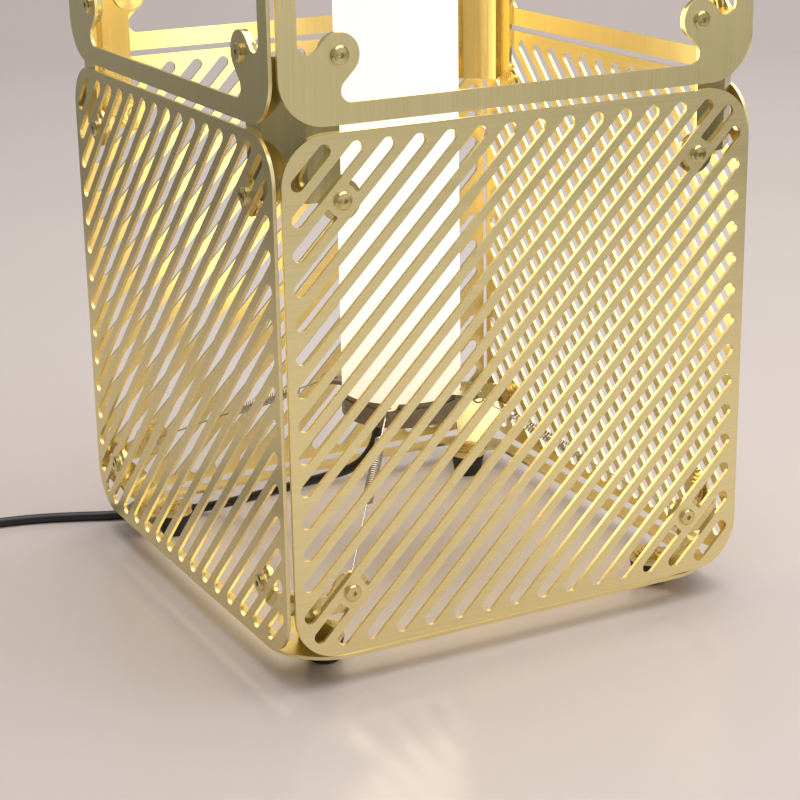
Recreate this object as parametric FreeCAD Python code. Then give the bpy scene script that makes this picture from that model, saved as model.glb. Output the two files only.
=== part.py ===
import FreeCAD
import Part
import os
from math import atan2, cos, pi, radians, sin, sqrt, tan

# Lantern table lamp: a lower box of four slotted brass panels and an upper box of
# four open frames, joined by folded corner brackets, with an opal light tube hung
# on sprung stays in the middle. Millimetres, +Z up, front face towards -Y, origin
# on the table under the middle of the lamp.

# Sheet metal sides
sheet = 2.0
body_width = 295.0
corner_setback = 3.5
side_height = 286.0
side_corner = 26.0
module_gap = 3.6
screw_from_side = 34.0
screw_from_end = 35.0

# Slots of the lower panels, 45 degrees, rising to the right seen from outside;
# the back panel is turned inside out, so its slots rise the other way
slot_width = 7.6
slot_pitch = 12.83
slot_border = 5.0
slot_boss = 8.5
slot_nick = 1.2

# Open frames and the round ears that carry their screws
rail = 11.0
ear_radius = 11.3
ear_pocket = 6.0

# Base and top frames, feet
plate_inset = 2.0
plate_corner = 36.0
plate_screw_from_edge = 33.5
plate_gap = 3.1
foot_height = 14.0
foot_top_radius = 11.5
foot_bottom_radius = 9.0
foot_edge = 0.8
foot_recess_radius = 5.6
foot_recess_depth = 7.0

# Folded corner brackets
facet_leg = 17.0
bracket_nick = 3.0
web_run = 28.0
web_shoulder = 11.0
web_half = 17.0
web_waist = 22.0

# Button head screws and stepped round nuts
screw_radius = 2.5
screw_hole = 2.75
thread_gap = 0.05
screw_tail = 0.5
head_radius = 4.9
head_height = 2.1
head_chamfer = 0.8
socket_flats = 3.0
socket_depth = 1.5
nut_steps = ((9.5, 1.6), (7.4, 1.0), (4.8, 0.9))

# Light tube, end caps and lug rings
tube_radius = 36.4
tube_wall = 2.5
tube_gap = 0.1
cap_overhang = 0.4
cap_above_base = 83.0
cap_body = 11.9
cap_groove = 1.0
cap_groove_depth = 1.0
cap_floor = 3.0
cap_wall = 2.3
cap_chamfer = 0.8
spigot_length = 8.0
lug_thickness = 2.6
lug_half_width = 5.0
lug_reach = 8.7
lug_hole_radius = 2.0

# Sprung stays
wire_radius = 0.5
wire_gap = 0.1
hook_radius = 3.8
anchor_core_radius = 2.2
anchor_core_length = 1.8
anchor_head_radius = 2.9
anchor_head_length = 1.5
spring_start = 25.0
spring_turns = 24
spring_pitch = 1.75
spring_radius = 2.75
spring_bend = 1.2
spring_plug_radius = 3.25
spring_plug_length = 1.5

# Light engine inside the tube
core_sides = 6
core_radius = 9.5
core_bore = 4.0
strip_width = 7.0
strip_thickness = 1.2
strip_end_gap = 12.0
block_size = (18.0, 10.0, 9.0)
block_from_axis = 19.0

# Cord, its strain relief, coil, tie and plug
cord_radius = 3.0
exit_from_axis = 17.0
exit_heading = 122.0
relief_tip = 4.0
relief_length = 20.0
relief_tip_radius = 4.2
relief_neck_radius = 5.0
relief_flange_radius = 6.2
relief_flange_length = 3.0
relief_end_radius = 4.6
coil_x = -274.0
coil_y = 134.4
coil_start_radius = 46.6
coil_spacing = 7.2
coil_turns_in = 3.0
coil_turns_out = 2.75
tie_thickness = 1.0
tie_width = 5.0
tie_gap = 0.2
tie_angle = 300.0
points_per_turn = 36
plug_length = 34.0
plug_width = 26.0
plug_neck_width = 14.0
plug_shoulder = 13.6
plug_height = 13.6
plug_round = 2.5
plug_sleeve = 24.0
plug_sleeve_radius = 5.6
plug_sleeve_tip = 4.2
pin_radius = 2.0
pin_length = 19.0
pin_spacing = 18.6
pin_chamfer = 0.6

# Levels worked out from the sizes above
side_offset = body_width / 2
side_width = body_width - 2 * corner_setback
base_top = foot_height + sheet
panel_bottom = base_top + plate_gap
panel_top = panel_bottom + side_height
frame_bottom = panel_top + module_gap
frame_top = frame_bottom + side_height
lid_bottom = frame_top + plate_gap
lid_top = lid_bottom + sheet
mirror_level = (foot_height + lid_top) / 2
sheet_face = side_offset - sheet
flange_face = sheet_face - sheet
facet_edge = sheet_face - facet_leg
plate_half = sheet_face - plate_inset
plate_screw = plate_half - plate_screw_from_edge
screw_x = side_width / 2 - screw_from_side
low_screws = (panel_bottom + screw_from_end, panel_top - screw_from_end)
high_screws = (frame_bottom + screw_from_end, frame_top - screw_from_end)
nut_height = sum(step[1] for step in nut_steps)
nut_face = flange_face - nut_height

origin = FreeCAD.Vector(0, 0, 0)
up = FreeCAD.Vector(0, 0, 1)
side_names = ("front", "left", "back", "right")
corner_names = ("front_left", "back_left", "back_right", "front_right")


def vec(x, y, z=0.0):
    return FreeCAD.Vector(x, y, z)


def save(name, shape):
    if not shape.isValid():
        raise ValueError(name + " is not a valid shape")
    shape.exportStep("parts/" + name + ".step")


def moved(shape, place):
    copy = shape.copy()
    copy.translate(place)
    return copy


def quarter_turned(shape, turns):
    copy = shape.copy()
    copy.rotate(origin, up, -90.0 * turns)
    return copy


def flipped(shape):
    return shape.mirror(vec(0, 0, mirror_level), up)


def on_front(shape, level):
    """Stands a flat shape up in the front side: its +Z becomes the outward -Y."""
    copy = shape.copy()
    copy.rotate(origin, vec(1, 0, 0), 90)
    copy.translate(vec(0, -level, 0))
    return copy


def rectangle(x0, y0, x1, y1):
    corners = [vec(x0, y0), vec(x1, y0), vec(x1, y1), vec(x0, y1), vec(x0, y0)]
    return Part.Face(Part.makePolygon(corners))


def disc(x, y, radius):
    return Part.Face(Part.Wire(Part.makeCircle(radius, vec(x, y))))


def strip(start, end, half_width):
    along = (end - start).normalize()
    side = vec(-along.y, along.x) * half_width
    corners = [start - side, end - side, end + side, start + side, start - side]
    return Part.Face(Part.makePolygon(corners))


def stadium(start, end, radius):
    along = (end - start).normalize()
    side = vec(-along.y, along.x) * radius
    edges = [
        Part.makeLine(start - side, end - side),
        Part.Arc(end - side, end + along * radius, end + side).toShape(),
        Part.makeLine(end + side, start + side),
        Part.Arc(start + side, start - along * radius, start - side).toShape(),
    ]
    return Part.Face(Part.Wire(edges))


def rounded_rectangle(half_x, half_y, radius, centre_y=0.0):
    edges = []
    low, high = centre_y - half_y, centre_y + half_y
    inner_x, inner_low, inner_high = half_x - radius, low + radius, high - radius
    diagonal = radius / sqrt(2)
    corners = ((1, inner_high), (-1, inner_high), (-1, inner_low), (1, inner_low))
    ends = []
    for number, (sign, level) in enumerate(corners):
        tall = 1 if level == inner_high else -1
        centre = vec(sign * inner_x, level)
        on_side = centre + vec(sign * radius, 0)
        on_end = centre + vec(0, tall * radius)
        middle = centre + vec(sign * diagonal, tall * diagonal)
        first, last = (on_side, on_end) if number % 2 == 0 else (on_end, on_side)
        ends.append((first, last))
        edges.append(Part.Arc(first, middle, last).toShape())
    for number in range(4):
        edges.append(Part.makeLine(ends[number][1], ends[(number + 1) % 4][0]))
    return Part.Face(Part.Wire(Part.__sortEdges__(edges)))


def pocketed(face, radius):
    """Rounds the outward corners of a hole's outline."""
    return face.makeOffset2D(-radius, 2).makeOffset2D(radius, 0)


def filleted(face, radius):
    """Rounds the inward corners of a plate's outline."""
    return face.makeOffset2D(radius, 2).makeOffset2D(-radius, 0)


def plate(face, thickness=sheet):
    return face.extrude(vec(0, 0, thickness))


def prism_ring(radius, sides, level):
    """Closed row of corners of a regular outline about the Z axis."""
    steps = [2 * pi * number / sides for number in range(sides)] + [0.0]
    return [vec(radius * cos(step), radius * sin(step), level) for step in steps]


def turned_profile(points, centre=origin):
    """Solid of revolution about a vertical axis through centre, from (radius, level) points."""
    corners = [vec(radius, 0, level) for radius, level in points]
    solid = Part.Face(Part.makePolygon(corners + corners[:1])).revolve(origin, up, 360)
    solid.translate(centre)
    return solid


# ---- sides

def screw_points(levels):
    return [vec(sign * screw_x, level) for level in levels for sign in (-1, 1)]


def slot_faces():
    middle = (panel_bottom + panel_top) / 2
    inset = slot_border + slot_width / 2
    half_x, half_y, corner = side_width / 2 - inset, side_height / 2 - inset, side_corner - inset
    guide = rounded_rectangle(half_x, half_y, corner, middle)
    reach = half_x + half_y
    step = slot_pitch * sqrt(2)
    each_way = int((reach - corner * (2 - sqrt(2))) / step)
    slots = []
    for number in range(-each_way, each_way + 1):
        rise = number * step
        line = Part.makeLine(vec(-reach, middle + rise - reach), vec(reach, middle + rise + reach))
        ends = [vertex.Point for vertex in guide.common(line).Vertexes]
        slot = stadium(ends[0], ends[1], slot_width / 2)
        bosses = [point for point in screw_points(low_screws)
                  if abs(point.y - point.x - middle - rise) < step / 2]
        for point in bosses:
            slot = slot.cut(disc(point.x, point.y, slot_boss))
        if bosses:
            slots += [pocketed(piece, slot_nick) for piece in slot.Faces]
        else:
            slots.append(slot)
    return slots


def slotted_panel():
    middle = (panel_bottom + panel_top) / 2
    outline = rounded_rectangle(side_width / 2, side_height / 2, side_corner, middle)
    holes = [disc(point.x, point.y, screw_hole) for point in screw_points(low_screws)]
    return on_front(plate(outline.cut(slot_faces() + holes)), sheet_face)


def eared_window(half_x, half_y, screw_half_y, middle, screw_at):
    window = rectangle(-half_x, middle - half_y, half_x, middle + half_y)
    reach = max(half_x - screw_at, half_y - screw_half_y) + rail
    for sign_x in (-1, 1):
        for sign_y in (-1, 1):
            screw = vec(sign_x * screw_at, middle + sign_y * screw_half_y)
            root = screw + vec(sign_x, sign_y) * reach
            window = window.cut([strip(screw, root, ear_radius),
                                 disc(screw.x, screw.y, ear_radius)])
    window = window.removeSplitter()
    return pocketed(window.Faces[0], ear_pocket)


def open_frame():
    middle = (frame_bottom + frame_top) / 2
    outline = rounded_rectangle(side_width / 2, side_height / 2, side_corner, middle)
    window = eared_window(side_width / 2 - rail, side_height / 2 - rail,
                          side_height / 2 - screw_from_end, middle, screw_x)
    holes = [disc(point.x, point.y, screw_hole) for point in screw_points(high_screws)]
    return on_front(plate(outline.cut([window] + holes)), sheet_face)


def flat_frame():
    outline = rounded_rectangle(plate_half, plate_half, plate_corner)
    window = eared_window(plate_half - rail, plate_half - rail, plate_screw, 0.0, plate_screw)
    holes = [disc(sign_x * plate_screw, sign_y * plate_screw, screw_hole)
             for sign_x in (-1, 1) for sign_y in (-1, 1)]
    return moved(plate(outline.cut([window] + holes)), vec(0, 0, foot_height))


# ---- brackets, made for the front left corner

def both_ways(shape):
    """The shape and its mirror image across the corner's diagonal, as one."""
    return shape.fuse(shape.mirror(origin, vec(1, -1, 0)))


def flange(low, high, lobes, nick):
    face = rectangle(-facet_edge, low, -screw_x, high)
    face = face.fuse([disc(-screw_x, level, ear_radius) for level in lobes])
    face = filleted(face.removeSplitter().Faces[0], nick)
    face = face.cut([disc(-screw_x, level, screw_hole) for level in lobes])
    return on_front(plate(face), flange_face)


def facet(low, high):
    mitre = sheet * tan(radians(22.5))
    near, far = facet_edge, sheet_face
    corners = [vec(-near, -far, low), vec(-far, -near, low), vec(-far + sheet, -near + mitre, low),
               vec(-near + mitre, -far + sheet, low), vec(-near, -far, low)]
    return Part.Face(Part.makePolygon(corners)).extrude(vec(0, 0, high - low))


def middle_bracket():
    low, high = low_screws[1], high_screws[0]
    body = both_ways(flange(low, high, (low, high), bracket_nick))
    return body.fuse(facet(low, high)).removeSplitter()


def inward(distance, across, level=0.0):
    """Point measured inward from the middle of the facet's outer face, and across it."""
    middle = -(sheet_face + facet_edge) / 2
    return vec(middle + (distance + across) / sqrt(2), middle + (distance - across) / sqrt(2), level)


def web_outline(reach):
    half_facet = facet_leg / sqrt(2)
    half = [(-web_shoulder, half_facet), (sheet, half_facet), (web_shoulder, web_half),
            (web_waist, ear_radius), (reach, ear_radius)]
    row = half + [(distance, -across) for distance, across in reversed(half)]
    corners = [inward(distance, across) for distance, across in row]
    outline = Part.Face(Part.makePolygon(corners + corners[:1]))
    outline = outline.fuse(disc(-plate_screw, -plate_screw, ear_radius)).removeSplitter()
    outline = filleted(pocketed(outline.Faces[0], bracket_nick), ear_pocket)
    return outline.cut(disc(-plate_screw, -plate_screw, screw_hole))


def web(high):
    """Sloping plate from the facet inwards, then flat on the base under the foot's nut."""
    reach = (sheet_face + facet_edge) / sqrt(2) - plate_screw * sqrt(2)
    tab_top = base_top + sheet
    slope = (high - tab_top) / (web_run - sheet)
    drop = sheet * sqrt(1 + slope * slope)
    fold = sheet + (high - drop - base_top) / slope
    side = [(0, high), (sheet, high), (web_run, tab_top), (reach + web_half, tab_top),
            (reach + web_half, base_top), (fold, base_top), (0, high + slope * sheet - drop)]
    corners = [inward(distance, -2 * web_half, level) for distance, level in side]
    across = inward(0, 4 * web_half) - inward(0, 0)
    profile = Part.Face(Part.makePolygon(corners + corners[:1])).extrude(across)
    return profile.common(web_outline(reach).extrude(vec(0, 0, high)))


def bottom_bracket():
    high = low_screws[0]
    low = high - ear_radius
    body = both_ways(flange(low, high, (high,), ear_pocket))
    return body.fuse([facet(low, high), web(low)]).removeSplitter()


# ---- feet and fasteners

def foot():
    points = [(foot_recess_radius, 0), (foot_bottom_radius - foot_edge, 0),
              (foot_bottom_radius, foot_edge), (foot_top_radius, foot_height),
              (screw_hole, foot_height), (screw_hole, foot_recess_depth),
              (foot_recess_radius, foot_recess_depth)]
    return turned_profile(points, vec(-plate_screw, -plate_screw))


def screw(length):
    """Button head screw: the head stands on the plane Z=0 and the shank hangs below."""
    points = [(0, -length), (screw_radius, -length), (screw_radius, 0), (head_radius, 0),
              (head_radius, head_height - head_chamfer),
              (head_radius - head_chamfer, head_height), (0, head_height)]
    ring = prism_ring(socket_flats / sqrt(3), 6, head_height - socket_depth)
    socket = Part.Face(Part.makePolygon(ring)).extrude(vec(0, 0, socket_depth))
    return turned_profile(points).cut(socket)


def nut():
    """Stepped round nut: its widest step lies on the plane Z=0 and the others below."""
    level = 0.0
    points = [(screw_radius + thread_gap, 0)]
    for radius, height in nut_steps:
        points.append((radius, level))
        level -= height
        points.append((radius, level))
    points.append((screw_radius + thread_gap, level))
    return turned_profile(points)


def on_sides(piece, level, levels, turns=(0, 1, 2, 3)):
    """Copies of a piece at the screw points of the named sides, +Z turned outward."""
    upright = on_front(piece, level)
    return [quarter_turned(moved(upright, vec(point.x, 0, point.y)), turn)
            for turn in turns for point in screw_points(levels)]


def on_corners(piece):
    return [quarter_turned(piece, turn) for turn in range(4)]


def side_fasteners():
    for name, levels in (("panel", low_screws), ("frame", high_screws)):
        screws = on_sides(screw(2 * sheet + nut_height), side_offset, levels)
        nuts = on_sides(nut(), flange_face, levels)
        save(name + "_screws", Part.Compound(screws))
        save(name + "_nuts", Part.Compound(nuts))


def plate_fasteners():
    corner = vec(-plate_screw, -plate_screw)
    grip = foot_height - foot_recess_depth + 2 * sheet + nut_height + screw_tail
    foot_screw = screw(grip).mirror(origin, up)
    foot_screw = moved(foot_screw, corner + vec(0, 0, foot_recess_depth))
    foot_nut = moved(nut().mirror(origin, up), corner + vec(0, 0, base_top + sheet))
    lid_screw = moved(screw(2 * sheet + nut_height + screw_tail), corner + vec(0, 0, lid_top))
    save("foot_screws", Part.Compound(on_corners(foot_screw)))
    save("foot_nuts", Part.Compound(on_corners(foot_nut)))
    save("lid_screws", Part.Compound(on_corners(lid_screw)))
    save("lid_nuts", Part.Compound([flipped(piece) for piece in on_corners(foot_nut)]))


# ---- light tube and its end caps

cap_bottom = foot_height + cap_above_base
cap_radius = tube_radius + cap_overhang
lug_hole_at = cap_radius + lug_reach
shoulder = cap_bottom + cap_body
ring_bottom = shoulder + cap_groove
ring_top = ring_bottom + lug_thickness
spigot_radius = tube_radius - tube_wall - tube_gap
cap_inside = spigot_radius - cap_wall
inner_floor = cap_bottom + cap_floor
exit_point = vec(exit_from_axis * cos(radians(exit_heading)),
                 exit_from_axis * sin(radians(exit_heading)), cap_bottom)


def end_cap():
    points = [(0, cap_bottom), (cap_radius - cap_chamfer, cap_bottom),
              (cap_radius, cap_bottom + cap_chamfer), (cap_radius, shoulder),
              (cap_radius - cap_groove_depth, shoulder),
              (cap_radius - cap_groove_depth, ring_bottom), (spigot_radius, ring_bottom),
              (spigot_radius, ring_top + spigot_length), (cap_inside, ring_top + spigot_length),
              (cap_inside, inner_floor), (0, inner_floor)]
    return turned_profile(points)


def diffuser():
    length = flipped_level(ring_top) - ring_top
    outer = Part.makeCylinder(tube_radius, length, vec(0, 0, ring_top))
    return outer.cut(Part.makeCylinder(tube_radius - tube_wall, length, vec(0, 0, ring_top)))


def flipped_level(level):
    return 2 * mirror_level - level


# ---- stays: hook on the lug, link, spring, wire and the eye on its anchor

anchor_y = -(nut_face - anchor_core_length / 2)
eye_radius = anchor_core_radius + wire_gap + wire_radius
hook_inside = hook_radius - wire_radius
hook_bow = hook_inside - sqrt(hook_inside ** 2 - (lug_thickness / 2) ** 2)
hook_from_axis = lug_hole_at + lug_hole_radius - wire_gap - hook_bow + hook_inside
ring_middle = ring_bottom + lug_thickness / 2
anchor_middle = vec(-screw_x, anchor_y, low_screws[0])
stay_heading = atan2(anchor_middle.y, anchor_middle.x)
hook_middle = vec(hook_from_axis * cos(stay_heading), hook_from_axis * sin(stay_heading),
                  ring_middle)
in_eye_plane = vec(hook_middle.x - anchor_middle.x, 0, hook_middle.z - anchor_middle.z)
eye_point = anchor_middle + in_eye_plane.normalize() * eye_radius
stay_line = eye_point - hook_middle
stay_length = stay_line.Length
stay_direction = stay_line * (1 / stay_length)
spring_ends = spring_bend + 2 * wire_radius


def four_stays(piece):
    """The front left piece with its mirror images at the other three corners."""
    front_right = piece.mirror(origin, vec(1, 0, 0))
    return [piece, piece.mirror(origin, vec(0, 1, 0)),
            front_right.mirror(origin, vec(0, 1, 0)), front_right]


def lug_ring():
    face = disc(0, 0, cap_radius)
    lugs = []
    for heading in (stay_heading, pi - stay_heading, -stay_heading, pi + stay_heading):
        outward = vec(cos(heading), sin(heading))
        lugs.append(stadium(outward * spigot_radius, outward * lug_hole_at, lug_half_width))
    face = face.fuse(lugs).removeSplitter().Faces[0]
    holes = [disc(0, 0, spigot_radius + thread_gap)]
    for heading in (stay_heading, pi - stay_heading, -stay_heading, pi + stay_heading):
        holes.append(disc(lug_hole_at * cos(heading), lug_hole_at * sin(heading),
                          lug_hole_radius))
    return moved(plate(face.cut(holes), lug_thickness), vec(0, 0, ring_bottom))


def stay_anchor():
    core = Part.makeCylinder(anchor_core_radius, anchor_core_length)
    head = Part.makeCylinder(anchor_head_radius, anchor_head_length,
                             vec(0, 0, -anchor_head_length))
    return core.fuse(head).removeSplitter()


def rod(start, end, radius=wire_radius):
    line = end - start
    return Part.makeCylinder(radius, line.Length, start, line)


def stay_hook():
    across = vec(-sin(stay_heading), cos(stay_heading))
    return Part.makeTorus(hook_radius, wire_radius, hook_middle, across)


def stay_eye():
    return Part.makeTorus(eye_radius, wire_radius, anchor_middle, vec(0, 1, 0))


def on_stay(distance):
    return hook_middle + stay_direction * distance


def spring_span():
    """Distance from one plug face to the other."""
    return spring_turns * spring_pitch + 2 * bend_rise()


def helix_slope():
    return atan2(spring_pitch, 2 * pi * spring_radius)


def bend_rise():
    setback = spring_bend * tan((pi / 2 - helix_slope()) / 2)
    return setback * (1 + sin(helix_slope())) + 2 * wire_radius


def arc_from(start, tangent, end):
    """Circular arc from start, along tangent there, to end."""
    chord = end - start
    half = chord.Length / 2
    lean = tangent.getAngle(chord)
    side = tangent - chord * (tangent.dot(chord) / chord.dot(chord))
    rise = half * tan(lean / 2)
    middle = start + chord * 0.5 + side.normalize() * rise
    return Part.Arc(start, middle, end).toShape()


def biarc(start, start_tangent, end, end_tangent):
    """Two arcs with a shared tangent from one point and direction to another."""
    chord = end - start
    both = start_tangent + end_tangent
    spread = 2 * (1 - start_tangent.dot(end_tangent))
    pull = chord.dot(both)
    reach = (sqrt(pull * pull + spread * chord.dot(chord)) - pull) / spread
    joint = (start + start_tangent * reach + end - end_tangent * reach) * 0.5
    joint_tangent = (joint - start - start_tangent * reach).normalize()
    return [arc_from(start, start_tangent, joint), arc_from(joint, joint_tangent, end)]


def tube_along(edges, radius):
    path = Part.Wire(edges)
    start = path.Edges[0].firstVertex().Point
    heading = path.Edges[0].tangentAt(path.Edges[0].FirstParameter)
    ring = Part.Wire(Part.makeCircle(radius, start, heading))
    shell = path.makePipeShell([ring], True, False)
    return shell if shell.ShapeType == "Solid" else shell.Solids[0]


def least_gap(points, diameter):
    """Least clear distance between points of a wound tube half a turn or more apart."""
    gap = 1e9
    for number, point in enumerate(points):
        for other in points[number + points_per_turn // 2:]:
            gap = min(gap, (point - other).Length)
    return round(gap - diameter, 2)


def helix_point(turn):
    angle = 2 * pi * turn
    return vec(spring_radius * cos(angle), spring_radius * sin(angle),
               bend_rise() + spring_pitch * turn)


def helix_tangent(turn):
    angle = 2 * pi * turn
    slope = helix_slope()
    return vec(-sin(angle) * cos(slope), cos(angle) * cos(slope), sin(slope))


def spring():
    """Extension spring standing on the plane Z=0, its wire ends square to its plugs."""
    first, last = helix_point(0), helix_point(spring_turns)
    leave, arrive = helix_tangent(0), helix_tangent(spring_turns)
    setback = spring_bend * tan((pi / 2 - helix_slope()) / 2)
    low = first - leave * setback - up * setback
    high = last + arrive * setback + up * setback
    edges = [Part.makeLine(vec(low.x, low.y, 0), low), arc_from(low, up, first)]
    for half in range(2 * spring_turns):
        start, end = half / 2, (half + 1) / 2
        edges += biarc(helix_point(start), helix_tangent(start),
                       helix_point(end), helix_tangent(end))
    edges += [arc_from(last, arrive, high),
              Part.makeLine(high, vec(high.x, high.y, spring_span()))]
    points = [helix_point(step / points_per_turn)
              for step in range(points_per_turn * spring_turns + 1)]
    print("spring least gap", least_gap(points, 2 * wire_radius))
    return tube_along(edges, wire_radius)


def along_stay(shape, distance):
    copy = shape.copy()
    copy.Placement = FreeCAD.Placement(on_stay(distance), FreeCAD.Rotation(up, stay_direction))
    return copy


def stays():
    link_end = spring_start - spring_plug_length
    spring_end = spring_start + spring_span()
    wire_start = spring_end + spring_plug_length
    link = stay_hook().fuse([rod(on_stay(hook_radius), on_stay(link_end)),
                             rod(on_stay(link_end), on_stay(spring_start), spring_plug_radius)])
    wire = stay_eye().fuse([rod(on_stay(wire_start), eye_point),
                            rod(on_stay(spring_end), on_stay(wire_start), spring_plug_radius)])
    plain = stay_hook().fuse([stay_eye(), rod(on_stay(hook_radius), eye_point)])
    save("stay_links", Part.Compound(four_stays(link.removeSplitter())))
    save("stay_wires", Part.Compound(four_stays(wire.removeSplitter())))
    save("upper_stays", Part.Compound([flipped(piece)
                                       for piece in four_stays(plain.removeSplitter())]))
    coil = along_stay(spring(), spring_start)
    for name, piece in zip(corner_names, four_stays(coil)):
        save("stay_spring_" + name, piece)
    low = on_sides(stay_anchor(), nut_face - anchor_core_length, low_screws[:1], (0, 2))
    high = on_sides(stay_anchor(), nut_face - anchor_core_length, high_screws[1:], (0, 2))
    save("stay_anchors", Part.Compound(low + high))


# ---- light engine

def light_core():
    ring = prism_ring(core_radius, core_sides, inner_floor)
    height = flipped_level(inner_floor) - inner_floor
    core = Part.Face(Part.makePolygon(ring)).extrude(vec(0, 0, height))
    return core.cut(Part.makeCylinder(core_bore, height, vec(0, 0, inner_floor)))


def light_strips():
    face_distance = core_radius * cos(pi / core_sides)
    low = ring_top + strip_end_gap
    height = flipped_level(low) - low
    strip_box = Part.makeBox(strip_thickness, strip_width, height,
                             vec(face_distance, -strip_width / 2, low))
    strips = []
    for number in range(core_sides):
        copy = strip_box.copy()
        copy.rotate(origin, up, (number + 0.5) * 360 / core_sides)
        strips.append(copy)
    return Part.Compound(strips)


def terminal_block():
    length, depth, height = block_size
    block = Part.makeBox(length, depth, height, vec(-length / 2, -depth / 2, inner_floor))
    block.translate(vec(0, -block_from_axis, 0))
    block.rotate(origin, up, exit_heading - 90)
    return block


# ---- cord

relief_end = cap_bottom - relief_tip + relief_length
cord_start = vec(exit_point.x, exit_point.y, cap_bottom - relief_tip)
coil_level = cord_radius + tie_thickness + tie_gap
coil_middle = vec(coil_x, coil_y)


def strain_relief():
    flange_top = inner_floor + relief_flange_length
    points = [(0, cord_start.z), (relief_tip_radius, cord_start.z),
              (relief_neck_radius, cap_bottom), (relief_neck_radius, inner_floor),
              (relief_flange_radius, inner_floor), (relief_flange_radius, flange_top),
              (relief_neck_radius, flange_top), (relief_end_radius, relief_end),
              (0, relief_end)]
    return turned_profile(points, vec(exit_point.x, exit_point.y))


def cord_tube(route, name):
    """Round tube on straight runs joined by tangent arcs through a list of points."""
    edges = []
    bends = []
    here = route[0]
    for before, corner, after in zip(route, route[1:], route[2:]):
        arriving, leaving = corner - before, after - corner
        turn = arriving.getAngle(leaving)
        setback = 0.45 * min(arriving.Length, leaving.Length)
        bends.append(setback / tan(turn / 2))
        enter = corner - arriving.normalize() * setback
        leave = corner + leaving.normalize() * setback
        edges.append(Part.LineSegment(here, enter).toShape())
        edges.append(arc_from(enter, arriving, leave))
        here = leave
    edges.append(Part.LineSegment(here, route[-1]).toShape())
    length = sum(edge.Length for edge in edges)
    tube = tube_along(edges, cord_radius)
    share = tube.Volume / (pi * cord_radius ** 2 * length)
    print(name, "length", round(length, 1), "least radius", round(min(bends), 1),
          "radii", [round(bend) for bend in bends], "volume share", round(share, 4))
    return tube


def coil_point(turn):
    """Point, radius and direction of the coiled cord after so many turns."""
    swap = coil_turns_in + 0.5
    angle = pi / 2 + 2 * pi * turn
    inner = coil_start_radius - coil_spacing * coil_turns_in
    if turn <= coil_turns_in:
        radius, level, rate = coil_start_radius - coil_spacing * turn, 0.0, -coil_spacing
    elif turn < swap:
        radius, level, rate = inner, coil_spacing * (turn - coil_turns_in) * 2, 0.0
    else:
        radius, level, rate = inner + coil_spacing * (turn - swap), coil_spacing, coil_spacing
    outward = vec(cos(angle), sin(angle))
    onward = vec(-sin(angle), cos(angle))
    direction = onward * (2 * pi * radius) + outward * rate
    if coil_turns_in < turn < swap:
        direction += up * (2 * coil_spacing)
    return coil_middle + outward * radius + up * (coil_level + level), direction.normalize()


coil_turns = coil_turns_in + 0.5 + coil_turns_out
coil_first, coil_first_direction = coil_point(0.0)
coil_last, coil_last_direction = coil_point(coil_turns)
coil_entry = coil_first - coil_first_direction * (2 * cord_radius)
coil_exit = coil_last + coil_last_direction * (2 * cord_radius)


def coil_points():
    return [coil_point(step / points_per_turn)[0]
            for step in range(round(points_per_turn * coil_turns) + 1)]


def cord_coil():
    edges = [Part.makeLine(coil_entry, coil_first)]
    for quarter in range(round(4 * coil_turns)):
        start, start_direction = coil_point(quarter / 4)
        end, end_direction = coil_point((quarter + 1) / 4)
        edges += biarc(start, start_direction, end, end_direction)
    edges.append(Part.makeLine(coil_last, coil_exit))
    length = sum(edge.Length for edge in edges)
    print("coil length", round(length, 1), "least gap", least_gap(coil_points(), 2 * cord_radius))
    return tube_along(edges, cord_radius)


def hanging(distance, level):
    """A point of the cord's fall, in the upright plane that it leaves the cap in."""
    heading = radians(exit_heading)
    return vec(distance * cos(heading), distance * sin(heading), level)


def cord_route():
    floor = cord_radius
    last_run = 24.0
    return [
        cord_start,
        hanging(17.0, 81.0),
        hanging(22.5, 66.0),
        hanging(34.5, 53.0),
        hanging(58.0, 42.5),
        hanging(92.0, 28.5),
        hanging(127.0, 14.0),
        vec(-84.0, 134.0, floor),
        vec(-108.0, 144.0, floor),
        vec(-135.0, 150.0, floor),
        vec(-161.0, 163.0, floor),
        vec(-188.0, 173.5, floor),
        vec(-216.0, 179.0, floor),
        coil_entry - coil_first_direction * last_run,
        coil_entry,
    ]


def tail_route():
    lower = plug_height / 2
    onward = coil_exit + coil_last_direction * 20.0
    return [
        coil_exit,
        onward,
        vec(onward.x - 1.5, onward.y - 22.0, lower),
        vec(onward.x - 1.5, onward.y - 42.0, lower),
    ]


def cord_tie():
    """Flat band round the bundle, standing on the table."""
    outward = vec(cos(radians(tie_angle)), sin(radians(tie_angle)))
    spots = [point - coil_middle for point in coil_points()]
    under = [spot.dot(outward) for spot in spots
             if spot.dot(outward) > 0 and abs(spot.cross(outward).z) < tie_width]
    near, far = min(under), max(under)
    inner_near = near - cord_radius - tie_gap
    inner_far = far + cord_radius + tie_gap
    inner_low = tie_thickness
    inner_high = coil_level + coil_spacing + cord_radius + tie_gap
    band = Part.makeBox(inner_far - inner_near + 2 * tie_thickness, tie_width,
                        inner_high + tie_thickness,
                        vec(inner_near - tie_thickness, -tie_width / 2, 0))
    hole = Part.makeBox(inner_far - inner_near, tie_width, inner_high - inner_low,
                        vec(inner_near, -tie_width / 2, inner_low))
    band = band.cut(hole)
    band.rotate(origin, up, tie_angle)
    band.translate(coil_middle)
    return band


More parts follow.
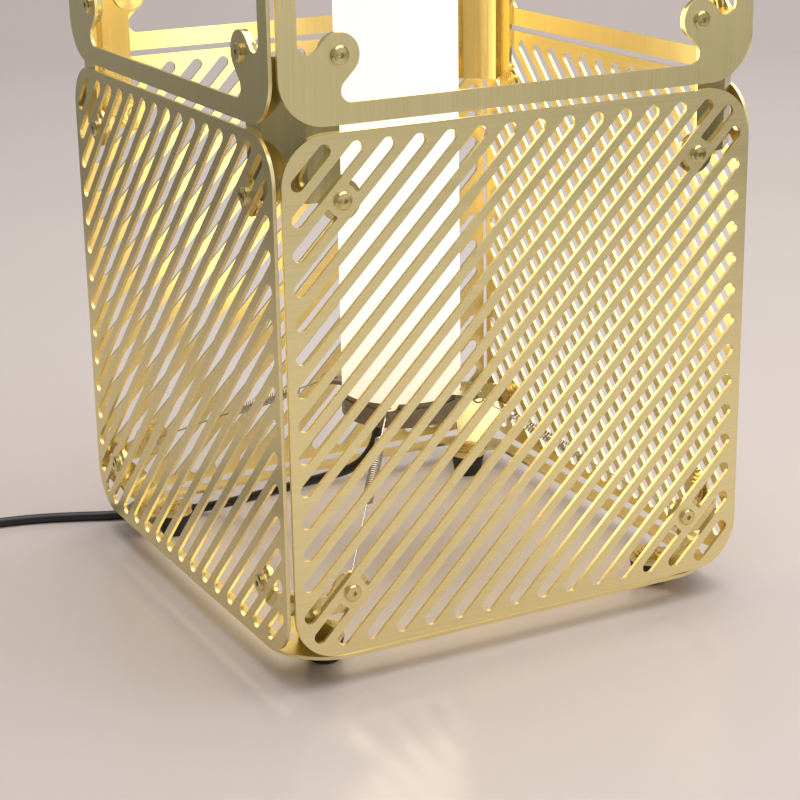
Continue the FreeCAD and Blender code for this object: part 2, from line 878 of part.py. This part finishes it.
def plug_body(end):
    """Flat two pin plug with a tapered sleeve, lying on the table and pointing to -Y."""
    middle = plug_height / 2
    sleeve = Part.makeCone(plug_sleeve_tip, plug_sleeve_radius, plug_sleeve,
                           vec(end.x, end.y, middle), vec(0, -1, 0))
    back = end.y - plug_sleeve
    front = back - plug_length
    waist = back - plug_shoulder
    half, neck = plug_width / 2, plug_neck_width / 2
    corners = [vec(end.x - neck, back), vec(end.x - half, waist), vec(end.x - half, front),
               vec(end.x + half, front), vec(end.x + half, waist), vec(end.x + neck, back),
               vec(end.x - neck, back)]
    body = Part.Face(Part.makePolygon(corners)).extrude(vec(0, 0, plug_height))
    body = body.makeFillet(plug_round, body.Edges)
    return body.fuse(sleeve).removeSplitter()


def plug_pins(end):
    front = end.y - plug_sleeve - plug_length
    pins = []
    for side in (-1, 1):
        spot = vec(end.x + side * pin_spacing / 2, front, plug_height / 2)
        shank = Part.makeCylinder(pin_radius, pin_length - pin_chamfer, spot, vec(0, -1, 0))
        tip = Part.makeCone(pin_radius, pin_radius - pin_chamfer, pin_chamfer,
                            spot - vec(0, pin_length - pin_chamfer, 0), vec(0, -1, 0))
        pins.append(shank.fuse(tip))
    return Part.Compound(pins)


# ---- build

def build():
    os.makedirs("parts", exist_ok=True)
    panel, frame, flat = slotted_panel(), open_frame(), flat_frame()
    inside_out = panel.mirror(origin, vec(1, 0, 0))
    for turn, name in enumerate(side_names):
        side = inside_out if name == "back" else panel
        save("slotted_panel_" + name, quarter_turned(side, turn))
        save("open_frame_" + name, quarter_turned(frame, turn))
    save("base_frame", flat)
    save("top_frame", flipped(flat))
    middle, bottom, rubber = middle_bracket(), bottom_bracket(), foot()
    for turn, name in enumerate(corner_names):
        save("middle_bracket_" + name, quarter_turned(middle, turn))
        save("bottom_bracket_" + name, quarter_turned(bottom, turn))
        save("top_bracket_" + name, flipped(quarter_turned(bottom, turn)))
        save("foot_" + name, quarter_turned(rubber, turn))
    side_fasteners()
    plate_fasteners()

    cap, lugs = end_cap(), lug_ring()
    outlet = Part.makeCylinder(relief_neck_radius, cap_floor, exit_point)
    save("lower_cap", cap.cut(outlet))
    save("upper_cap", flipped(cap))
    save("lower_lug_ring", lugs)
    save("upper_lug_ring", flipped(lugs))
    save("diffuser_tube", diffuser())
    stays()
    save("light_core", light_core())
    save("light_strips", light_strips())
    save("terminal_block", terminal_block())

    save("cord_strain_relief", strain_relief())
    save("cord_stretch", cord_tube(cord_route(), "cord stretch"))
    save("cord_coil", cord_coil())
    tail = tail_route()
    save("cord_tail", cord_tube(tail, "cord tail"))
    save("cord_tie", cord_tie())
    save("plug_body", plug_body(tail[-1]))
    save("plug_pins", plug_pins(tail[-1]))


build()
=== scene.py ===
from math import cos, pi, radians, sin

import bpy
from mathutils import Matrix, Vector


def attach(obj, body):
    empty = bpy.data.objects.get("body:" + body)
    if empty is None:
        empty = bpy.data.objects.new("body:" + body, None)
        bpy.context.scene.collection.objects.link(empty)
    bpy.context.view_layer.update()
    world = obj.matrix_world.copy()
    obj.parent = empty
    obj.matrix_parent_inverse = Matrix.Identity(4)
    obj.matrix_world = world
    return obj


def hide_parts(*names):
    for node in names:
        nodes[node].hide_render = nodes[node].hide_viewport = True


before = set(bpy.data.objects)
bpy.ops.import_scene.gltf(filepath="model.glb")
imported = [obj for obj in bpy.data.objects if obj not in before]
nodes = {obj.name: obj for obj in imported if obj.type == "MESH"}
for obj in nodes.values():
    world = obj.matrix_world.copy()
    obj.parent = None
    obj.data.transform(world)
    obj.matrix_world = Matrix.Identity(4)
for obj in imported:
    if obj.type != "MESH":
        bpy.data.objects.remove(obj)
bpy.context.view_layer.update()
print("frame loaded:", len(nodes), "nodes")

corners = ("front_left", "back_left", "back_right", "front_right")
sides = ("front", "left", "back", "right")


# ---- camera

camera = {
    "place": (-0.5649, -1.0644, 0.5011),
    "back": (-0.4445, -0.8391, 0.3136),   # from the lamp towards the lens
    "roll": -0.942,                       # degrees
    "lens": 92.7,
    "sensor": 36.0,
    "nearest": 0.05,
    "farthest": 50,
}


def placeCamera():
    back = Vector(camera["back"]).normalized()
    right = Vector((0, 0, 1)).cross(back).normalized()
    above = back.cross(right)
    roll = radians(camera["roll"])
    turnedRight = right * cos(roll) + above * sin(roll)
    turnedUp = above * cos(roll) - right * sin(roll)
    data = bpy.data.cameras.new("photoCamera")
    data.lens = camera["lens"]
    data.sensor_width = camera["sensor"]
    data.clip_start = camera["nearest"]
    data.clip_end = camera["farthest"]
    holder = bpy.data.objects.new("photoCamera", data)
    turned = Matrix((turnedRight, turnedUp, back)).transposed().to_4x4()
    holder.matrix_world = Matrix.Translation(camera["place"]) @ turned
    bpy.context.collection.objects.link(holder)
    bpy.context.scene.camera = holder


placeCamera()
print("camera placed")


# ---- mains cord

cord = {
    "diameter": 0.006,
    "length": 1.801,
    "exitFromAxis": 0.017,
    "exitHeading": 122.0,       # degrees round the lamp from +X
    "exitLevel": 0.093,
    "coilX": -0.274,
    "coilY": 0.1344,
    "coilRadius": 0.0466,
    "coilSpacing": 0.0072,
    "turnsIn": 3,
    "turnsUp": 0.5,             # the step from the lower layer to the upper one
    "turnsOut": 2.75,
    "pointsPerTurn": 16,
    "coilLevel": 0.0042,
    "plugLevel": 0.0068,
    "plugAside": 0.0015,
    "roundness": 6,
    "smoothness": 8,
}


def hanging(distance, level):
    heading = radians(cord["exitHeading"])
    return Vector((distance * cos(heading), distance * sin(heading), level))


def coilPoint(turn):
    # in along the table, a step up at the inner turn, then out again on top
    swap = cord["turnsIn"] + cord["turnsUp"]
    inner = cord["coilRadius"] - cord["coilSpacing"] * cord["turnsIn"]
    if turn <= cord["turnsIn"]:
        radius = cord["coilRadius"] - cord["coilSpacing"] * turn
        rise = 0.0
    elif turn < swap:
        radius = inner
        rise = cord["coilSpacing"] * (turn - cord["turnsIn"]) / cord["turnsUp"]
    else:
        radius = inner + cord["coilSpacing"] * (turn - swap)
        rise = cord["coilSpacing"]
    angle = pi / 2 + 2 * pi * turn
    return Vector((cord["coilX"] + radius * cos(angle), cord["coilY"] + radius * sin(angle),
                   cord["coilLevel"] + rise))


def cordRoute():
    # down from the cap, along the table behind the back left foot, then put away
    table = cord["diameter"] / 2
    fall = [hanging(cord["exitFromAxis"], cord["exitLevel"]),
            hanging(cord["exitFromAxis"], 0.081), hanging(0.0225, 0.066),
            hanging(0.0345, 0.053), hanging(0.058, 0.0425), hanging(0.092, 0.0285),
            hanging(0.127, 0.014)]
    along = [Vector((-0.084, 0.134, table)), Vector((-0.108, 0.144, table)),
             Vector((-0.135, 0.150, table)), Vector((-0.161, 0.163, table)),
             Vector((-0.188, 0.1735, table)), Vector((-0.216, 0.179, table)),
             Vector((-0.244, 0.1815, table))]
    wholeTurns = cord["turnsIn"] + cord["turnsUp"] + cord["turnsOut"]
    steps = round(wholeTurns * cord["pointsPerTurn"])
    coil = [coilPoint(step * wholeTurns / steps) for step in range(steps + 1)]
    end = coil[-1]
    plugX = end.x - cord["plugAside"]
    tail = [end + Vector((0, -0.013, 0)), end + Vector((0, -0.026, 0)),
            Vector((plugX, end.y - 0.048, cord["plugLevel"])),
            Vector((plugX, end.y - 0.068, cord["plugLevel"]))]
    return fall + along + coil + tail


def drawCord(name, points, radius):
    # a NURBS curve with the route's points as its control points
    data = bpy.data.curves.new(name, "CURVE")
    data.dimensions = "3D"
    data.bevel_depth = 1.0
    data.bevel_resolution = cord["roundness"]
    data.resolution_u = cord["smoothness"]
    data.use_fill_caps = True
    line = data.splines.new("NURBS")
    line.points.add(len(points) - 1)
    for point, spot in zip(line.points, points):
        point.co = (spot.x, spot.y, spot.z, 1.0)
        point.radius = radius       # times the bevel depth of 1 m
    line.order_u = 3
    line.use_endpoint_u = True
    piece = bpy.data.objects.new(name, data)
    bpy.context.collection.objects.link(piece)
    return piece


mainsCord = drawCord("mainsCord", cordRoute(), cord["diameter"] / 2)
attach(mainsCord, "root")
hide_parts("cord_stretch", "cord_coil", "cord_tail")
print("cord laid")


# ---- material helpers

def newMaterial(name):
    material = bpy.data.materials.new(name)
    material.use_nodes = True
    tree = material.node_tree
    tree.nodes.clear()
    out = tree.nodes.new("ShaderNodeOutputMaterial")
    shader = tree.nodes.new("ShaderNodeBsdfPrincipled")
    tree.links.new(shader.outputs["BSDF"], out.inputs["Surface"])
    return material, tree, shader


def addNode(tree, kind, **settings):
    node = tree.nodes.new(kind)
    for key, value in settings.items():
        setattr(node, key, value)
    return node


def addMath(tree, operation, first, second=None, third=None, clamp=False):
    node = addNode(tree, "ShaderNodeMath", operation=operation, use_clamp=clamp)
    for place, value in enumerate((first, second, third)):
        if value is None:
            continue
        if hasattr(value, "links"):
            tree.links.new(value, node.inputs[place])
        else:
            node.inputs[place].default_value = value
    return node.outputs[0]


def addMix(tree, factor, first, second):
    # first and second are colours or sockets
    node = addNode(tree, "ShaderNodeMix", data_type="RGBA")
    tree.links.new(factor, node.inputs["Factor"])
    for socket, value in ((node.inputs[6], first), (node.inputs[7], second)):
        if hasattr(value, "links"):
            tree.links.new(value, socket)
        else:
            socket.default_value = (*value, 1.0)
    return node.outputs[2]


def addNoise(tree, coords, scale, detail=3.0, roughness=0.5):
    node = addNode(tree, "ShaderNodeTexNoise")
    node.inputs["Scale"].default_value = scale
    node.inputs["Detail"].default_value = detail
    node.inputs["Roughness"].default_value = roughness
    tree.links.new(coords, node.inputs["Vector"])
    return node.outputs["Fac"]


def objectCoords(tree):
    return addNode(tree, "ShaderNodeTexCoord").outputs["Object"]


def addRoughness(tree, shader, grain, roughness, spread):
    # roughness goes up and down with the grain, by spread in all
    rough = addMath(tree, "MULTIPLY_ADD", grain, spread, roughness - spread / 2)
    tree.links.new(rough, shader.inputs["Roughness"])


def addBump(tree, shader, height, depth, strength):
    bump = addNode(tree, "ShaderNodeBump")
    bump.inputs["Strength"].default_value = strength
    bump.inputs["Distance"].default_value = depth
    tree.links.new(height, bump.inputs["Height"])
    tree.links.new(bump.outputs["Normal"], shader.inputs["Normal"])


def finish(material, *names):
    for name in names:
        for place in nodes[name].material_slots:
            place.material = material


# ---- shared effects

scratches = {
    "fineScale": 900.0,
    "broadScale": 160.0,
    "fineShare": 0.6,
    "driftScale": 9.0,
}


def makeBrushGroup():
    # fine scratches drawn out along one direction, with a slow drift of tone
    group = bpy.data.node_groups.new("brushedGrain", "ShaderNodeTree")
    face = group.interface
    face.new_socket("Vector", in_out="INPUT", socket_type="NodeSocketVector")
    stretch = face.new_socket("Stretch", in_out="INPUT", socket_type="NodeSocketVector")
    stretch.default_value = (1, 1, 1)
    face.new_socket("Grain", in_out="OUTPUT", socket_type="NodeSocketFloat")
    face.new_socket("Drift", in_out="OUTPUT", socket_type="NodeSocketFloat")
    into = group.nodes.new("NodeGroupInput")
    out = group.nodes.new("NodeGroupOutput")
    product = addNode(group, "ShaderNodeVectorMath", operation="MULTIPLY")
    group.links.new(into.outputs["Vector"], product.inputs[0])
    group.links.new(into.outputs["Stretch"], product.inputs[1])
    fine = addNoise(group, product.outputs[0], scratches["fineScale"], 2.0, 0.6)
    broad = addNoise(group, product.outputs[0], scratches["broadScale"], 3.0, 0.6)
    broadPart = addMath(group, "MULTIPLY", broad, 1 - scratches["fineShare"])
    both = addMath(group, "MULTIPLY_ADD", fine, scratches["fineShare"], broadPart)
    group.links.new(both, out.inputs["Grain"])
    drift = addNoise(group, into.outputs["Vector"], scratches["driftScale"], 3.0, 0.55)
    group.links.new(drift, out.inputs["Drift"])
    return group


screwPlan = {
    "across": 0.110,              # from the lamp's middle planes
    "middles": (0.1621, 0.4517),  # middle heights of the lower and upper sides
    "apart": 0.108,               # screws above and below those middles
    "ringSpacing": 0.0008,
}


def makeRingGroup():
    # turning marks round every screw: distance from the nearest screw's axis
    group = bpy.data.node_groups.new("turningMarks", "ShaderNodeTree")
    face = group.interface
    face.new_socket("Vector", in_out="INPUT", socket_type="NodeSocketVector")
    level = face.new_socket("Level", in_out="INPUT", socket_type="NodeSocketFloat")
    level.default_value = 0.0
    spacing = face.new_socket("Spacing", in_out="INPUT", socket_type="NodeSocketFloat")
    spacing.default_value = screwPlan["ringSpacing"]
    face.new_socket("Ring", in_out="OUTPUT", socket_type="NodeSocketFloat")
    into = group.nodes.new("NodeGroupInput")
    out = group.nodes.new("NodeGroupOutput")
    parts = group.nodes.new("ShaderNodeSeparateXYZ")
    group.links.new(into.outputs["Vector"], parts.inputs[0])
    alongX = addMath(group, "ABSOLUTE", parts.outputs["X"])
    alongY = addMath(group, "ABSOLUTE", parts.outputs["Y"])
    nearer = addMath(group, "MINIMUM", alongX, alongY)
    aside = addMath(group, "SUBTRACT", nearer, screwPlan["across"])
    heights = []
    for middle in screwPlan["middles"]:
        off = addMath(group, "ABSOLUTE", addMath(group, "SUBTRACT", parts.outputs["Z"], middle))
        left = addMath(group, "SUBTRACT", off, screwPlan["apart"])
        heights.append(addMath(group, "ABSOLUTE", left))
    upright = addMath(group, "MINIMUM", *heights)
    # lying screws are measured across the top and base frames instead
    farther = addMath(group, "MAXIMUM", alongX, alongY)
    lying = addMath(group, "SUBTRACT", farther, screwPlan["across"])
    choice = addNode(group, "ShaderNodeMix", data_type="FLOAT")
    group.links.new(into.outputs["Level"], choice.inputs["Factor"])
    group.links.new(upright, choice.inputs[2])
    group.links.new(lying, choice.inputs[3])
    square = addMath(group, "MULTIPLY", aside, aside)
    other = addMath(group, "MULTIPLY", choice.outputs[0], choice.outputs[0])
    radius = addMath(group, "SQRT", addMath(group, "ADD", square, other))
    turns = addMath(group, "DIVIDE", radius, into.outputs["Spacing"])
    wave = addMath(group, "SINE", addMath(group, "MULTIPLY", turns, 2 * pi))
    group.links.new(addMath(group, "MULTIPLY_ADD", wave, 0.5, 0.5), out.inputs["Ring"])
    return group


brushGroup = makeBrushGroup()
ringGroup = makeRingGroup()


# ---- brass

brass = {
    "colour": (0.93, 0.80, 0.42),
    "shade": (0.77, 0.65, 0.32),
    # polished brass is smoother, and its colours are set darker than the brushed ones as painted shade
    # for the folded brackets, which sit in the shade behind the panels; screws and nuts share these
    # darker colours
    "polishedColourPaintedShade": (0.80, 0.67, 0.32),
    "polishedDarkGrainPaintedShade": (0.60, 0.48, 0.20),
    "roughness": 0.34,
    "polished": 0.16,
    "roughnessSpread": 0.16,
    "metallic": 0.92,
    "across": (0.010, 0.010, 1.0),     # grain runs level
    "upright": (1.0, 1.0, 0.010),      # grain runs up and down
    "contrast": 2.2,                   # of the scratches' tone
    "contrastShift": -0.6,
    "grainShare": 0.65,                # of the tone; the rest is slow drift
    "ringShare": 0.5,
    "grainDepth": 0.00003,
    "ringDepth": 0.00006,
    "bumpStrength": 0.6,
}


def brassMaterial(name, stretch, colour, shade, roughness, lying=None):
    # lying is 0 or 1 on turned pieces, for upright and lying screws, and None on sheet
    material, tree, shader = newMaterial(name)
    coords = objectCoords(tree)
    brush = addNode(tree, "ShaderNodeGroup", node_tree=brushGroup)
    tree.links.new(coords, brush.inputs["Vector"])
    brush.inputs["Stretch"].default_value = stretch
    grain = brush.outputs["Grain"]
    sharp = addMath(tree, "MULTIPLY_ADD", grain, brass["contrast"], brass["contrastShift"], clamp=True)
    drift = addMath(tree, "MULTIPLY", brush.outputs["Drift"], 1 - brass["grainShare"])
    tone = addMath(tree, "MULTIPLY_ADD", sharp, brass["grainShare"], drift)
    height, depth = grain, brass["grainDepth"]
    if lying is not None:
        rings = addNode(tree, "ShaderNodeGroup", node_tree=ringGroup)
        tree.links.new(coords, rings.inputs["Vector"])
        rings.inputs["Level"].default_value = lying
        height, depth = rings.outputs["Ring"], brass["ringDepth"]
        plain = addMath(tree, "MULTIPLY", tone, 1 - brass["ringShare"])
        tone = addMath(tree, "MULTIPLY_ADD", height, brass["ringShare"], plain)
    tree.links.new(addMix(tree, tone, shade, colour), shader.inputs["Base Color"])
    shader.inputs["Metallic"].default_value = brass["metallic"]
    addRoughness(tree, shader, grain, roughness, brass["roughnessSpread"])
    addBump(tree, shader, height, depth, brass["bumpStrength"])
    return material


brushed = (brass["colour"], brass["shade"], brass["roughness"])
polished = (brass["polishedColourPaintedShade"], brass["polishedDarkGrainPaintedShade"], brass["polished"])
levelBrass = brassMaterial("levelBrushedBrass", brass["across"], *brushed)
uprightBrass = brassMaterial("uprightBrushedBrass", brass["upright"], *brushed)
# the folded brackets take the darker polished colours: painted shade for their place behind the panels
foldedBrass = brassMaterial("foldedBracketBrass", brass["upright"], *polished)
turnedBrass = brassMaterial("turnedBrass", brass["across"], *polished, lying=0.0)
lyingTurnedBrass = brassMaterial("lyingTurnedBrass", brass["across"], *polished, lying=1.0)
finish(levelBrass, *("slotted_panel_" + side for side in sides), "base_frame", "top_frame")
finish(uprightBrass, *("open_frame_" + side for side in sides))
for level in ("bottom", "middle", "top"):
    finish(foldedBrass, *(level + "_bracket_" + corner for corner in corners))
finish(turnedBrass, "panel_screws", "frame_screws", "panel_nuts", "frame_nuts")
finish(lyingTurnedBrass, "foot_screws", "lid_screws", "foot_nuts", "lid_nuts")
print("brass done")


# ---- light tube

glow = {
    "seen": 1.0,                  # strength the camera sees
    "cast": 4.2,                  # strength that lights the brass
    "colour": (1.0, 0.99, 0.90),
    "endColour": (1.0, 0.80, 0.58),
    "endLow": 0.10,               # the glow warms between these heights
    "endHigh": 0.19,
    "castColour": (1.0, 0.80, 0.46),
    "body": (0.22, 0.21, 0.19),
    "roughness": 0.25,
}


def opalMaterial():
    material, tree, shader = newMaterial("opalTube")
    shader.inputs["Base Color"].default_value = (*glow["body"], 1)
    shader.inputs["Roughness"].default_value = glow["roughness"]
    path = addNode(tree, "ShaderNodeLightPath")
    parts = tree.nodes.new("ShaderNodeSeparateXYZ")
    tree.links.new(objectCoords(tree), parts.inputs[0])
    along = addNode(tree, "ShaderNodeMapRange", interpolation_type="SMOOTHSTEP")
    along.inputs["From Min"].default_value = glow["endLow"]
    along.inputs["From Max"].default_value = glow["endHigh"]
    tree.links.new(parts.outputs["Z"], along.inputs["Value"])
    seen = addMix(tree, along.outputs["Result"], glow["endColour"], glow["colour"])
    colour = addMix(tree, path.outputs["Is Camera Ray"], glow["castColour"], seen)
    tree.links.new(colour, shader.inputs["Emission Color"])
    strength = addMath(tree, "MULTIPLY_ADD", path.outputs["Is Camera Ray"],
                       glow["seen"] - glow["cast"], glow["cast"])
    tree.links.new(strength, shader.inputs["Emission Strength"])
    return material


finish(opalMaterial(), "diffuser_tube")
print("tube done")


# ---- caps, stays, feet and cord

fineGrain = {
    "scale": 300.0,
    "shade": 0.8,                 # of the colour, in the grain's darker parts
    "roughnessSpread": 0.15,
    "depth": 0.00005,
}

# colour, roughness and metallic
smallFinishes = {
    "darkCapMetal": ((0.30, 0.26, 0.22), 0.42, 0.85),
    "staySteel": ((0.55, 0.54, 0.53), 0.28, 0.95),
    "coreAluminium": ((0.6, 0.6, 0.6), 0.4, 0.9),
    "lightStrip": ((0.8, 0.75, 0.5), 0.5, 0.0),
    "terminalPlastic": ((0.6, 0.58, 0.55), 0.5, 0.0),
    "footRubber": ((0.02, 0.02, 0.02), 0.55, 0.0),
    "cordJacket": ((0.015, 0.015, 0.016), 0.38, 0.0),
    "pinMetal": ((0.7, 0.65, 0.5), 0.25, 1.0),
}


def grainyMaterial(name):
    colour, roughness, metallic = smallFinishes[name]
    material, tree, shader = newMaterial(name)
    grain = addNoise(tree, objectCoords(tree), fineGrain["scale"])
    darker = tuple(channel * fineGrain["shade"] for channel in colour)
    tree.links.new(addMix(tree, grain, darker, colour), shader.inputs["Base Color"])
    shader.inputs["Metallic"].default_value = metallic
    addRoughness(tree, shader, grain, roughness, fineGrain["roughnessSpread"])
    addBump(tree, shader, grain, fineGrain["depth"], 1.0)
    return material


finish(grainyMaterial("darkCapMetal"), "lower_cap", "upper_cap", "lower_lug_ring", "upper_lug_ring")
finish(grainyMaterial("staySteel"), "stay_links", "stay_wires", "upper_stays", "stay_anchors",
       *("stay_spring_" + corner for corner in corners))
finish(grainyMaterial("coreAluminium"), "light_core")
finish(grainyMaterial("lightStrip"), "light_strips")
finish(grainyMaterial("terminalPlastic"), "terminal_block")
finish(grainyMaterial("footRubber"), *("foot_" + corner for corner in corners))
jacket = grainyMaterial("cordJacket")
mainsCord.data.materials.append(jacket)
finish(jacket, "cord_strain_relief", "cord_tie", "plug_body")
finish(grainyMaterial("pinMetal"), "plug_pins")
print("caps, stays and black parts done")


# ---- table

tableLook = {
    "colour": (0.62, 0.55, 0.52),
    "shade": (0.59, 0.52, 0.49),
    "cloudScale": 3.0,
    "roughness": 0.17,
    "shine": 0.35,
}

# distances from the lamp's middle, seen from the camera
tableSize = {
    "front": 0.95,
    "back": 2.0,
    "bend": 1.0,
    "bendSteps": 12,
    "height": 4.0,
    "leftNear": 0.74,
    "leftFar": 1.10,
    "rightNear": 0.95,
    "rightFar": 1.15,
    "widerReach": 6.0,
    "widerBelow": 0.001,
}


def paleTable():
    material, tree, shader = newMaterial("paleTable")
    cloud = addNoise(tree, objectCoords(tree), tableLook["cloudScale"], 2.0)
    tone = addMix(tree, cloud, tableLook["shade"], tableLook["colour"])
    tree.links.new(tone, shader.inputs["Base Color"])
    shader.inputs["Roughness"].default_value = tableLook["roughness"]
    shader.inputs["Specular IOR Level"].default_value = tableLook["shine"]
    return material


def addSurface(name, points, faces, material):
    mesh = bpy.data.meshes.new(name)
    mesh.from_pydata(points, [], faces)
    mesh.materials.append(material)
    piece = bpy.data.objects.new(name, mesh)
    bpy.context.collection.objects.link(piece)
    return piece


def makeTable():
    # a table top that curves up into a backdrop behind the lamp and spreads towards it
    back, bend = tableSize["back"], tableSize["bend"]
    steps = tableSize["bendSteps"]
    profile = [(-tableSize["front"], 0.0), (0.0, 0.0), (back, 0.0)]
    for step in range(1, steps + 1):
        angle = pi / 2 * step / steps
        profile.append((back + bend * sin(angle), bend - bend * cos(angle)))
    profile.append((back + bend, tableSize["height"]))
    toLens = Vector((camera["back"][0], camera["back"][1], 0)).normalized()
    aside = Vector((0, 0, 1)).cross(toLens)
    points = []
    for far, high in profile:
        spread = max(far, 0.0) / (back + bend)
        left = tableSize["leftNear"] * (1 - spread) + tableSize["leftFar"] * spread
        right = tableSize["rightNear"] * (1 - spread) + tableSize["rightFar"] * spread
        for edge in (-left, right):
            points.append(toLens * -far + aside * edge + Vector((0, 0, high)))
    faces = [(2 * step, 2 * step + 1, 2 * step + 3, 2 * step + 2) for step in range(len(profile) - 1)]
    piece = addSurface("tableTop", points, faces, paleTable())
    for face in piece.data.polygons:
        face.use_smooth = True


def makeWiderFloor():
    # the same pale surface further out, which only other views of the lamp take in
    reach, below = tableSize["widerReach"], -tableSize["widerBelow"]
    points = [(-reach, -reach, below), (reach, -reach, below), (reach, reach, below),
              (-reach, reach, below)]
    piece = addSurface("widerFloor", points, [(0, 1, 2, 3)], paleTable())
    piece.visible_diffuse = False
    piece.visible_glossy = False
    piece.visible_transmission = False
    piece.visible_shadow = False


makeTable()
makeWiderFloor()
print("table done")


# ---- room

room = {
    "abovePlace": (0.45, -0.05, 2.6),
    "aboveSize": 3.2,
    "abovePower": 92.0,
    "frontPlace": (1.0, -2.4, 1.1),
    "frontSize": 2.2,
    "frontPower": 9.5,
    "aim": (0, 0, 0.2),
    "surround": (0.84, 0.84, 0.85),
    "surroundStrength": 0.42,
    "clothColour": (0.05, 0.045, 0.04),
    "clothShade": 0.7,
    "clothScale": 60.0,
    "clothRoughness": 0.9,
    "floorLevel": -0.75,
    "floorReach": 5,
    "screenTop": 1.8,
    "screenNear": (-2.1, -0.6),
    "screenFar": (-1.7, 2.2),
}


def hangCloth(name, points):
    # dark studio cloth out of the picture, seen only as a reflection in the brass
    material, tree, shader = newMaterial(name)
    weave = addNoise(tree, objectCoords(tree), room["clothScale"], 2.0)
    darker = tuple(channel * room["clothShade"] for channel in room["clothColour"])
    tree.links.new(addMix(tree, weave, darker, room["clothColour"]), shader.inputs["Base Color"])
    shader.inputs["Roughness"].default_value = room["clothRoughness"]
    piece = addSurface(name, points, [(0, 1, 2, 3)], material)
    piece.visible_camera = False


def hangCloths():
    low, high, reach = room["floorLevel"], room["screenTop"], room["floorReach"]
    near, far = room["screenNear"], room["screenFar"]
    hangCloth("roomFloor", [(-reach, -reach, low), (reach, -reach, low), (reach, reach, low),
                            (-reach, reach, low)])
    hangCloth("leftScreen", [(*near, low), (*far, low), (*far, high), (*near, high)])


def areaLight(name, place, size, power):
    data = bpy.data.lights.new(name, "AREA")
    data.shape = "RECTANGLE"
    data.size, data.size_y = size, size
    data.energy = power
    holder = bpy.data.objects.new(name, data)
    away = Vector(place) - Vector(room["aim"])
    holder.rotation_euler = away.to_track_quat("Z", "Y").to_euler()
    holder.location = place
    bpy.context.collection.objects.link(holder)


def lightSurround():
    world = bpy.data.worlds.new("room")
    bpy.context.scene.world = world
    world.use_nodes = True
    surround = world.node_tree.nodes["Background"]
    surround.inputs["Color"].default_value = (*room["surround"], 1)
    surround.inputs["Strength"].default_value = room["surroundStrength"]


hangCloths()
areaLight("softAbove", room["abovePlace"], room["aboveSize"], room["abovePower"])
areaLight("softFront", room["frontPlace"], room["frontSize"], room["frontPower"])
lightSurround()
bpy.context.scene.view_settings.view_transform = "Standard"
print("room and lights done")
